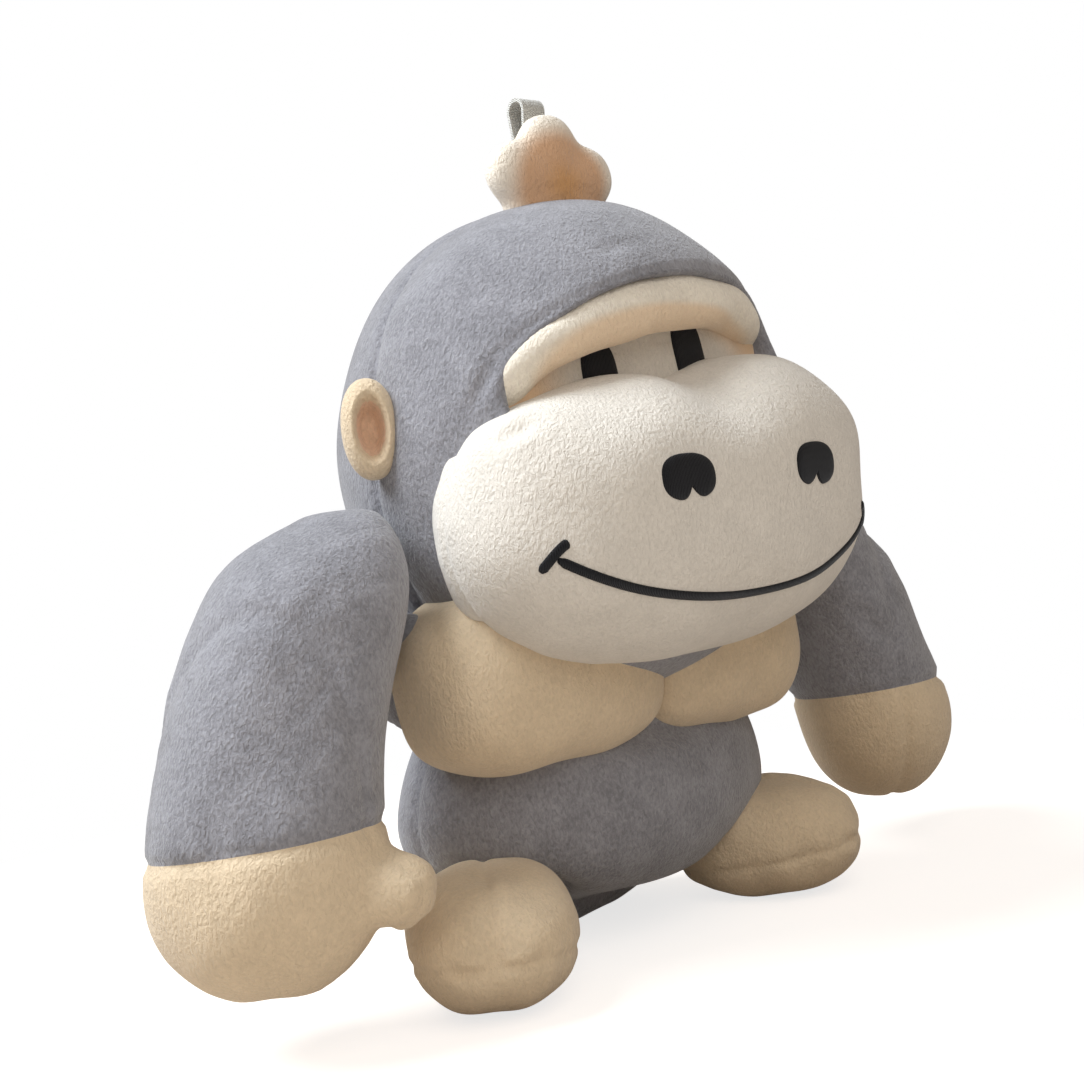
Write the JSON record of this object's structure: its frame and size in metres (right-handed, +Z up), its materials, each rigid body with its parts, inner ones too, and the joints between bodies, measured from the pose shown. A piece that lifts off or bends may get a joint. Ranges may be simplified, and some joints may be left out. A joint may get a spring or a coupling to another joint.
{
  "type": "plush gorilla",
  "caption": "Sitting plush gorilla with a padded muzzle, long hanging arms, chest pads, splayed feet, a crown tuft and a ribbon hanging loop.",
  "frame": {"origin": "on the ground under the middle of the toy's bounding box", "axes": "+Z up, the toy faces -Y, +X toward its left side"},
  "size_m": [0.3536, 0.171, 0.306],
  "materials": {
    "grey_plush": "short pile",
    "cream_plush": "short pile",
    "peach_plush": "short pile",
    "black_thread": "satin stitch",
    "ribbon": "woven",
    "stuffing": "fibre"
  },
  "bodies": {
    "torso": {"belly_panel": "grey_plush", "back_panel": "grey_plush", "torso_stuffing": "stuffing", "chest_pad_left": "cream_plush", "chest_pad_right": "cream_plush", "chest_stuffing_left": "stuffing", "chest_stuffing_right": "stuffing"},
    "head": {"head_front_panel": "grey_plush", "head_back_panel_left": "grey_plush", "head_back_panel_right": "grey_plush", "head_stuffing": "stuffing", "face_panel": "cream_plush", "brow_roll": "cream_plush", "eye_left": "black_thread", "eye_right": "black_thread", "muzzle_cover": "cream_plush", "muzzle_gusset": "cream_plush", "muzzle_stuffing": "stuffing", "nostril_left": "black_thread", "nostril_right": "black_thread", "mouth_stitching": "black_thread"},
    "tuft": {"tuft_front": "peach_plush", "tuft_back": "peach_plush", "tuft_stuffing": "stuffing", "tuft_tab": "peach_plush"},
    "loop": {"hanging_loop": "ribbon"},
    "arm_left": {"arm_outer_panel_left": "grey_plush", "arm_inner_panel_left": "grey_plush", "hand_outer_panel_left": "cream_plush", "hand_inner_panel_left": "cream_plush", "arm_stuffing_left": "stuffing", "thumb_left": "cream_plush"},
    "foot_left": {"foot_sole_left": "cream_plush", "foot_outer_panel_left": "cream_plush", "foot_inner_panel_left": "cream_plush", "foot_stuffing_left": "stuffing"},
    "ear_left": {"ear_back_left": "cream_plush", "ear_lining_left": "peach_plush"},
    "arm_right": {"arm_outer_panel_right": "grey_plush", "arm_inner_panel_right": "grey_plush", "hand_outer_panel_right": "cream_plush", "hand_inner_panel_right": "cream_plush", "arm_stuffing_right": "stuffing", "thumb_right": "cream_plush"},
    "foot_right": {"foot_sole_right": "cream_plush", "foot_outer_panel_right": "cream_plush", "foot_inner_panel_right": "cream_plush", "foot_stuffing_right": "stuffing"},
    "ear_right": {"ear_back_right": "cream_plush", "ear_lining_right": "peach_plush"}
  },
  "joints": [
    {"name": "neck_nod", "type": "hinge", "parent": "torso", "child": "head", "pos_m": [0, 0.0175, 0.097], "axis": [1, 0, 0], "range_deg": [-5, 5], "stiffness_Nm_per_rad": 4},
    {"name": "shoulder_swing_left", "type": "hinge", "parent": "torso", "child": "arm_left", "pos_m": [0.0858, 0.0085, 0.122], "axis": [-1, 0, 0], "range_deg": [-30, 60], "stiffness_Nm_per_rad": 0.3},
    {"name": "foot_flex_left", "type": "hinge", "parent": "torso", "child": "foot_left", "pos_m": [0.044, 0.0015, 0.024], "axis": [-0.829, -0.5592, 0], "range_deg": [-3, 6], "stiffness_Nm_per_rad": 1},
    {"name": "ear_fold_left", "type": "hinge", "parent": "head", "child": "ear_left", "pos_m": [0.0795, 0.0085, 0.189], "axis": [0, 0, 1], "range_deg": [-4, 20], "stiffness_Nm_per_rad": 0.005},
    {"name": "shoulder_swing_right", "type": "hinge", "parent": "torso", "child": "arm_right", "pos_m": [-0.0858, 0.0085, 0.122], "axis": [-1, 0, 0], "range_deg": [-30, 60], "stiffness_Nm_per_rad": 0.3},
    {"name": "foot_flex_right", "type": "hinge", "parent": "torso", "child": "foot_right", "pos_m": [-0.044, 0.0015, 0.024], "axis": [-0.829, 0.5592, 0], "range_deg": [-3, 6], "stiffness_Nm_per_rad": 1},
    {"name": "ear_fold_right", "type": "hinge", "parent": "head", "child": "ear_right", "pos_m": [-0.0795, 0.0085, 0.189], "axis": [0, 0, -1], "range_deg": [-4, 20], "stiffness_Nm_per_rad": 0.005},
    {"name": "tuft_flop", "type": "hinge", "parent": "head", "child": "tuft", "pos_m": [0, -0.0055, 0.2668], "axis": [1, 0, 0], "range_deg": [-2, 15], "stiffness_Nm_per_rad": 0.02},
    {"name": "loop_flop", "type": "hinge", "parent": "head", "child": "loop", "pos_m": [0, 0.0065, 0.2675], "axis": [-1, 0, 0], "range_deg": [-2, 20], "stiffness_Nm_per_rad": 0.002}
  ]
}
